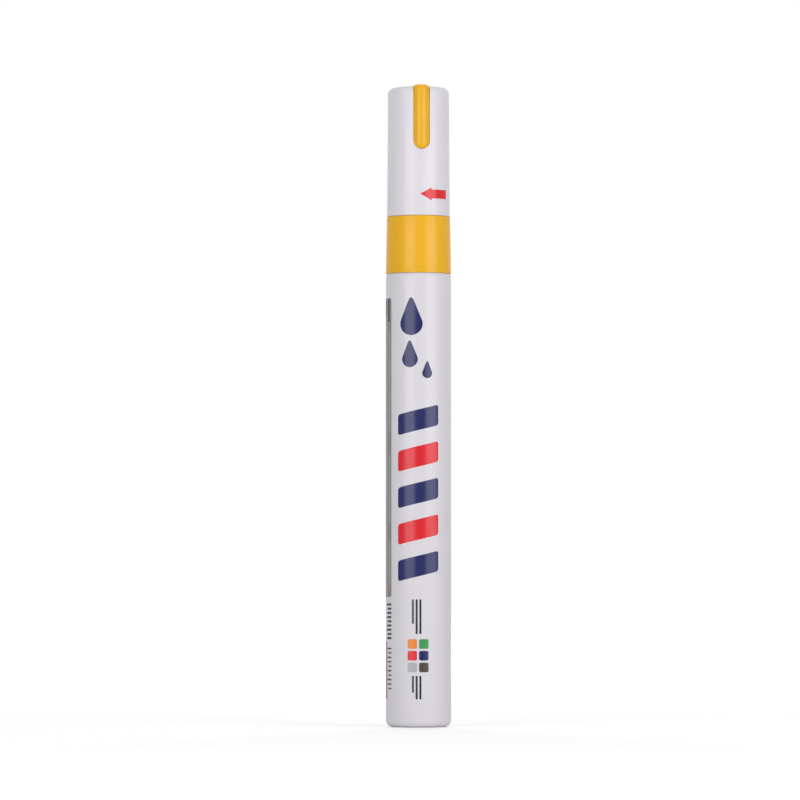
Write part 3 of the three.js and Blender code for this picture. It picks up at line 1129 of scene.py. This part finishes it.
@dataclass
class Cap:
    """The white shell, its coloured insert, the liner inside it and the arrow printed on it."""

    mouth: float = field(default_factory=lambda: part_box("cap_shell")[0].z / MM)
    top: float = field(default_factory=lambda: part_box("cap_shell")[1].z / MM)
    turn: float = math.radians(6)
    mouth_radius: float = 6.75
    mouth_round: float = 0.18
    top_radius: float = 6.55
    wall: float = 0.75
    top_wall: float = 1.0
    top_round: float = 1.3
    groove_rise: float = 3.6
    groove_depth: float = 0.2
    groove_half: float = 0.8
    bore_length: float = 7.2
    past_mouth: float = 1.0
    insert_radius: float = 1.75
    insert_proud: float = 0.6
    insert_top_proud: float = 0.3
    insert_drop: float = 13.5
    insert_round: float = 0.7
    insert_round_steps: int = 8
    slot_gap: float = 0.05
    slot_facets: int = 64
    slot_half_reach: float = 10.0
    fill_depth: float = 0.2
    rib_inset: float = 0.015
    liner_bore: float = 4.15
    liner_wall: float = 0.8
    liner_foot: float = 8.5
    liner_foot_round: float = 0.25
    liner_end: float = 1.7
    liner_gap: float = 0.1
    plate_gap: float = 0.05
    plate_round: float = 0.6
    plate_foot_round: float = 0.15
    plate_bore_round: float = 0.5
    rib_count: int = 6
    rib_width: float = 0.9
    rib_rise: float = 1.2
    rib_sunk: float = 0.3
    rib_lap: float = 0.1
    arrow_height: float = 113.95
    arrow_tip: float = 0.4
    arrow_neck: float = 2.9
    arrow_tail: float = 7.1
    arrow_head_half: float = 1.4
    arrow_shaft_half: float = 0.95

    @property
    def height(self) -> float:
        """The shell's height."""
        return self.top - self.mouth

    @property
    def inner_top(self) -> float:
        """The height of the shell's roof inside."""
        return self.height - self.top_wall

    @property
    def leg_axis(self) -> float:
        """How far the insert's legs are centred from the cap's axis."""
        return self.top_radius + self.insert_proud - self.insert_radius

    @property
    def leg_foot(self) -> float:
        """The height that the insert's lower ball ends are centred on."""
        return self.height - self.insert_drop + self.insert_radius

    def radius_at(self, z: float) -> float:
        """Returns the shell's outer radius at a height above the floor, in millimetres."""
        share = (z - self.mouth) / self.height
        return self.mouth_radius + (self.top_radius - self.mouth_radius) * share

    def cavity(self) -> bpy.types.Object:
        """Makes the space inside the shell.

        Returns:
            The space, as a solid.
        """
        bore = self.mouth_radius - self.wall
        low = self.groove_rise - self.groove_half
        high = self.groove_rise + self.groove_half
        return turned("cavity", [
            at(0, -self.past_mouth),
            at(bore, -self.past_mouth),
            at(bore, low),
            at(bore + self.groove_depth, low + self.groove_depth, EDGE),
            at(bore + self.groove_depth, high - self.groove_depth, EDGE),
            at(bore, high),
            at(bore, self.bore_length),
            at(self.top_radius - self.wall, self.inner_top, LEAD),
            at(0, self.inner_top),
        ])

    def slot(self, gap: float) -> bpy.types.Object:
        """Makes the round-ended run of the insert through the shell.

        Args:
            gap: How much wider it is than the insert on each side, in millimetres.

        Returns:
            The run, as a solid.
        """
        bm = bmesh.new()
        radius = (self.insert_radius + gap) * MM
        bmesh.ops.create_circle(bm, cap_ends=True, radius=radius, segments=self.slot_facets, matrix=UPRIGHT)
        for vert in bm.verts:
            if vert.co.z > JOINED:
                vert.co.z += 2 * self.insert_drop * MM
        reach = self.slot_half_reach * MM
        bmesh.ops.translate(bm, vec=(0, -reach, self.leg_foot * MM), verts=bm.verts)
        extrude(bm, (0, 2 * reach, 0))
        return finish_mesh(bm, "slot")

    def bridge(self, half: float, crown: float) -> bpy.types.Object:
        """Makes the bar that joins the insert's legs over the top.

        Args:
            half: Half its width, in millimetres.
            crown: The height of its top, in millimetres.

        Returns:
            The bar.
        """
        bm = bmesh.new()
        section = [(-half, self.inner_top), (half, self.inner_top), (half, crown), (-half, crown)]
        face = bm.faces.new([bm.verts.new((x * MM, -self.leg_axis * MM, z * MM)) for x, z in section])
        round_corners(bm, face.verts[2:], self.insert_round * MM, self.insert_round_steps)
        extrude(bm, (0, 2 * self.leg_axis * MM, 0))
        return finish_mesh(bm, "bridge")

    def build_shell(self) -> None:
        """Builds and dresses the shell."""
        shell = turned("cap_white", [
            at(0, 0),
            at(self.mouth_radius, 0, self.mouth_round),
            at(self.top_radius, self.height, self.top_round),
            at(0, self.height),
        ])
        combine(shell, Change.CUT, [self.cavity(), self.slot(self.slot_gap)])
        place(shell, self.mouth, self.turn)
        dress(shell, Finish.SHELL, Body.CAP, "cap_shell")

    def build_insert(self) -> None:
        """Builds and dresses the insert, which fills the slot and stands proud as half-round legs."""
        insert = turned("cap_insert", [
            at(0, 0),
            at(self.mouth_radius - self.fill_depth, 0),
            at(self.top_radius - self.fill_depth, self.height - self.fill_depth, self.top_round),
            at(0, self.height - self.fill_depth),
        ])
        combine(insert, Change.BOUND, [self.slot(0)])
        half = self.insert_radius - self.rib_inset
        crown = self.height + self.insert_top_proud
        proud = [self.bridge(half, crown)]
        for side in (-1, 1):
            leg = turned("leg", [at(0, self.leg_foot - half), at(half, self.leg_foot - half, half),
                                 at(half, crown, half), at(0, crown)], PLAIN)
            leg.data.transform(Matrix.Translation((0, side * self.leg_axis * MM, 0)))
            proud.append(leg)
        combine(insert, Change.JOIN, proud)
        combine(insert, Change.CUT, [self.cavity()])
        place(insert, self.mouth, self.turn)
        dress(insert, Finish.COLOUR, Body.CAP, "colour_insert")

    def build_liner(self) -> None:
        """Builds and dresses the liner."""
        outer = self.liner_bore + self.liner_wall
        plate = self.top_radius - self.wall - self.liner_gap
        plate_top = self.inner_top - self.plate_gap
        plate_under = plate_top - self.liner_end
        liner = turned("cap_inner_liner", [
            at(self.liner_bore, self.liner_foot, EDGE),
            at(outer, self.liner_foot, self.liner_foot_round),
            at(outer, plate_under, self.plate_foot_round),
            at(plate, plate_under, SOFT),
            at(plate, plate_top, self.plate_round),
            at(0, plate_top),
            at(0, plate_under),
            at(self.liner_bore, plate_under, self.plate_bore_round),
        ], PLAIN)
        low = self.liner_foot + self.rib_rise
        reach = plate - outer + self.rib_sunk
        size = Vector((reach, self.rib_width, plate_under - low + self.rib_lap))
        centre = Vector((plate - self.rib_lap - reach / 2, 0, (low + plate_under + self.rib_lap) / 2))
        turns = spaced(self.rib_count, TAU / 2 / self.rib_count)
        combine(liner, Change.JOIN, blocks("rib", size, centre, turns))
        place(liner, self.mouth, self.turn)
        dress(liner, Finish.NATURAL, Body.CAP, "cap_liner")

    def print_arrow(self) -> None:
        """Prints the arrow that points round the cap."""
        z, head, shaft = self.arrow_height, self.arrow_head_half, self.arrow_shaft_half
        tip, neck, tail = self.arrow_tip, self.arrow_neck, self.arrow_tail
        arrow = polygon([(tip, z), (neck, z - head), (neck, z - shaft), (tail, z - shaft),
                         (tail, z + shaft), (neck, z + shaft), (neck, z + head)])
        Print(self.radius_at, Body.CAP).press("print_arrow", [arrow], Finish.RED)

    def build(self) -> None:
        """Builds and dresses the cap's pieces."""
        self.build_shell()
        self.build_insert()
        self.build_liner()
        self.print_arrow()


@dataclass
class Nib:
    """The felt rod that takes paint from the chamber to its point."""

    radius: float = 1.7
    point: float = 2.8
    point_steps: int = 10

    def build(self) -> None:
        """Builds and dresses the nib."""
        low, high = heights(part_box("nib"))
        shoulder = high - self.point
        angles = [TAU / 4 * i / self.point_steps for i in range(self.point_steps)]
        point = [at(self.radius * math.cos(a), shoulder + self.point * math.sin(a)) for a in angles]
        rod = turned("felt_nib", [at(0, low), at(self.radius, low, LEAD), *point, at(0, high)], PLAIN)
        dress(rod, Finish.FELT, Body.PLUNGER, "nib")


@dataclass
class Valve:
    """The pump valve inside the plug: its seat, its cage, its sprung stem and the stem's spring."""

    fit: float = 4.9
    port: float = 2.0
    cone: float = 1.0
    cage_wall: float = 0.7
    cage_floor: float = 1.2
    cage_flange: float = 6.15
    flange_thickness: float = 1.0
    basket: float = 8.0
    window: float = 4.0
    window_reach: float = 3.4
    window_count: int = 4
    cage_port: float = 1.4
    pin: float = 1.6
    pin_length: float = 9.0
    stem_flange: float = 3.4
    stem_flange_thickness: float = 1.2
    shank: float = 1.3
    socket_bore: float = 1.75
    socket_wall: float = 0.8
    socket_floor: float = 1.4
    socket_depth: float = 3.5
    slot_width: float = 0.9
    slot_floor: float = 0.8
    seal_gap: float = 0.1
    wire: float = 0.2
    wire_facets: int = 16
    coil: float = 2.0
    turns: int = 8
    end_pitch: float = 0.85
    steps_per_turn: int = 48

    def build_seat(self) -> None:
        """Builds and dresses the seat."""
        low, high = heights(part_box("valve_seat"))
        seat = turned("valve_seat_ring", [
            at(self.port + self.cone, low, CRISP), at(self.fit, low, CRISP), at(self.fit, high, SOFT),
            at(self.port, high, SOFT), at(self.port, low + self.cone, CRISP),
        ], PLAIN)
        dress(seat, Finish.NATURAL, Body.BARREL, "valve_seat")

    def build_cage(self) -> None:
        """Builds and dresses the cage."""
        low, high = heights(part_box("valve_cage"))
        flange_top = low + self.basket
        flange_under = flange_top - self.flange_thickness
        inner = self.fit - self.cage_wall
        cage = turned("valve_cage_basket", [
            at(self.cage_port, low, EDGE), at(self.fit, low, LEAD), at(self.fit, flange_under, EDGE),
            at(self.cage_flange, flange_under, SOFT), at(self.cage_flange, flange_top, EDGE),
            at(self.fit, flange_top), at(self.fit, high, SOFT), at(inner, high, CRISP),
            at(inner, low + self.cage_floor, SOFT), at(self.cage_port, low + self.cage_floor, EDGE),
        ], PLAIN)
        foot = low + self.cage_floor + self.cage_wall
        size = Vector((self.window_reach, self.window, flange_under - self.cage_wall - foot))
        centre = Vector((self.fit, 0, foot + size.z / 2))
        combine(cage, Change.CUT, blocks("window", size, centre, spaced(self.window_count)))
        dress(cage, Finish.NATURAL, Body.BARREL, "valve_cage")

    def build_stem(self) -> None:
        """Builds and dresses the stem."""
        low, high = heights(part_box("valve_stem"))
        under = low + self.pin_length
        flange = under + self.stem_flange_thickness
        socket_foot = high - self.socket_depth - self.socket_floor
        socket_floor = high - self.socket_depth
        socket = self.socket_bore + self.socket_wall
        stem = turned("valve_stem_pin", [
            at(0, low), at(self.pin, low, LEAD), at(self.pin, under, EDGE),
            at(self.stem_flange, under, SOFT), at(self.stem_flange, flange, CRISP),
            at(self.port + self.cone - self.seal_gap, flange),
            at(self.port - self.seal_gap, flange + self.cone, CRISP),
            at(self.shank, flange + self.cone, CRISP), at(self.shank, socket_foot, CRISP),
            at(socket, socket_foot, SOFT), at(socket, high, SOFT), at(self.socket_bore, high, CRISP),
            at(self.socket_bore, socket_floor), at(0, socket_floor),
        ], PLAIN)
        foot = socket_floor + self.slot_floor
        size = Vector((4 * socket, self.slot_width, self.socket_depth))
        centre = Vector((0, 0, foot + self.socket_depth / 2))
        combine(stem, Change.CUT, blocks("slot", size, centre, (0, TAU / 4)))
        dress(stem, Finish.NATURAL, Body.PLUNGER, "valve_stem")

    def build_spring(self) -> None:
        """Builds and dresses the spring at its resting length and gives it a mesh of its own."""
        low, high = heights(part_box("valve_spring"))
        rise = high - low - 2 * self.wire
        active = (rise - 2 * self.end_pitch) / (self.turns - 2)
        bm = bmesh.new()
        start = Matrix.Translation(Vector((self.coil, 0, low + self.wire)) * MM)
        ring = bmesh.ops.create_circle(bm, cap_ends=False, radius=self.wire * MM,
                                       segments=self.wire_facets, matrix=start @ UPRIGHT)
        wound = ring["verts"] + list({edge for vert in ring["verts"] for edge in vert.link_edges})
        for turns, pitch in ((1, self.end_pitch), (self.turns - 2, active), (1, self.end_pitch)):
            steps = turns * self.steps_per_turn
            lift = Vector((0, 0, pitch * MM / self.steps_per_turn))
            wound = bmesh.ops.spin(bm, geom=wound, cent=(0, 0, 0), axis=(0, 0, 1), dvec=lift,
                                   angle=turns * TAU, steps=steps, use_duplicate=False)["geom_last"]
        bmesh.ops.holes_fill(bm, edges=[edge for edge in bm.edges if edge.is_boundary], sides=0)
        spring = finish_mesh(bm, "valve_spring_coil")
        dress(spring, Finish.STEEL, Body.BARREL, "valve_spring")
        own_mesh(spring)

    def build(self) -> None:
        """Builds and dresses the valve's pieces."""
        self.build_seat()
        self.build_cage()
        self.build_stem()
        self.build_spring()


# The studio


def stand(thing: bpy.types.ID, spot: Vector, aim: Vector) -> bpy.types.Object:
    """Stands a lamp or a camera in the studio.

    Args:
        thing: The lamp or the camera.
        spot: Its place, in millimetres.
        aim: The point that it faces, in millimetres.

    Returns:
        The object that holds it.
    """
    holder = bpy.data.objects.new(thing.name, thing)
    holder.location = spot * MM
    holder.rotation_euler = (aim - spot).to_track_quat("-Z", "Y").to_euler()
    bpy.context.scene.collection.objects.link(holder)
    return holder


@dataclass(frozen=True)
class Lamp:
    """A soft lamp that faces the pen: its place, its size and its light, in millimetres and degrees.

    The azimuth is to the right of the camera, the distance is from the pen's axis, a lamp that is not
    mirrored is left out of glossy reflections, and none aims higher than the highest aim.
    """

    name: str
    azimuth: float
    distance: float
    height: float
    size: Span
    radiance: float
    mirrored: bool = True
    highest_aim: float = 325

    def build(self) -> None:
        """Builds the lamp."""
        lamp = bpy.data.lights.new(self.name, "AREA")
        lamp.shape = "RECTANGLE"
        lamp.size, lamp.size_y = (side * MM for side in self.size)
        lamp.energy = self.radiance * math.pi * lamp.size * lamp.size_y
        angle = math.radians(self.azimuth)
        spot = Vector((math.sin(angle), -math.cos(angle), 0)) * self.distance
        spot.z = self.height
        aim = Vector((0, 0, min(self.height, self.highest_aim)))
        stand(lamp, spot, aim).visible_glossy = self.mirrored


@dataclass
class Studio:
    """A pale floor, soft lamps, a white surround and the camera."""

    eye: Vector = field(default_factory=lambda: Vector((0, -1137, 33)))
    aim: Vector = field(default_factory=lambda: Vector((-3.97, 0, 70.05)))
    lens: float = 238.4
    nearest: float = 10.0
    floor_size: float = 6000
    floor_drop: float = 0.05
    floor_colour: Colour = (0.9, 0.9, 0.9)
    floor_roughness: float = 0.9
    floor_glow: float = 0.335
    floor_fade: Span = (150, 700)
    surround: float = 0.24
    lamps: tuple[Lamp, ...] = (
        Lamp("lamp_left", -31.2, 1200, 205, (770, 410), 4.95),
        Lamp("lamp_right", 46, 1200, 205, (860, 410), 4.95),
        Lamp("lamp_back", 180, 1200, 800, (1200, 500), 3.9, mirrored=False),
        Lamp("lamp_top", 0, 200, 1300, (900, 900), 1.75),
    )

    def add_floor(self) -> None:
        """Adds the floor, which shows nearly white and keeps the pen's shadow."""
        bm = bmesh.new()
        bmesh.ops.create_grid(bm, x_segments=1, y_segments=1, size=self.floor_size * MM / 2)
        bmesh.ops.translate(bm, vec=(0, 0, -self.floor_drop * MM), verts=bm.verts)
        floor = finish_mesh(bm, "studio_floor")
        recipe = Recipe("floor_paper", self.floor_colour, {
            "Roughness": self.floor_roughness, "Specular IOR Level": 0.0, "Emission Color": WHITE,
        })
        away = recipe.add("VectorMath", {0: recipe.place}, operation="LENGTH").outputs["Value"]
        near, far = (distance * MM for distance in self.floor_fade)
        fade = recipe.ramp(away, (near, far), (self.floor_glow, 1.0))
        seen = recipe.add("LightPath").outputs["Is Camera Ray"]
        glow = recipe.add("Math", {0: seen, 1: fade}, operation="MULTIPLY")
        recipe.feed_shader({"Emission Strength": glow.outputs[0]})
        floor.data.materials.append(recipe.material)

    def add_surround(self) -> None:
        """Sets a world that lights the pen softly and looks white."""
        world = bpy.data.worlds.new("studio_surround")
        bpy.context.scene.world = world
        tree = NodeTree(world)
        rays = tree.add("LightPath").outputs
        seen = rays["Is Camera Ray"]
        for kind in ("Is Glossy Ray", "Is Transmission Ray"):
            seen = tree.add("Math", {0: seen, 1: rays[kind]}, operation="MAXIMUM").outputs[0]
        strength = tree.ramp(seen, (0.0, 1.0), (self.surround, 1.0))
        background = tree.add("Background", {"Color": WHITE, "Strength": strength})
        tree.add("OutputWorld", {"Surface": background.outputs["Background"]})

    def add_camera(self) -> None:
        """Adds the camera at the photograph's place."""
        camera = bpy.data.cameras.new("camera")
        camera.lens = self.lens
        camera.clip_start = self.nearest * MM
        bpy.context.scene.camera = stand(camera, self.eye, self.aim)

    def build(self) -> None:
        """Builds the studio."""
        bpy.context.scene.view_settings.view_transform = "Standard"
        self.add_floor()
        self.add_surround()
        for lamp in self.lamps:
            lamp.build()
        self.add_camera()


def main() -> None:
    """Builds the pen and its studio."""
    logging.basicConfig(level=logging.INFO, format="%(name)s: %(message)s")
    Studio().build()
    for part in (Barrel(), FrontSection(), Cap(), Nib(), Valve()):
        part.build()


if __name__ == "__main__":
    main()
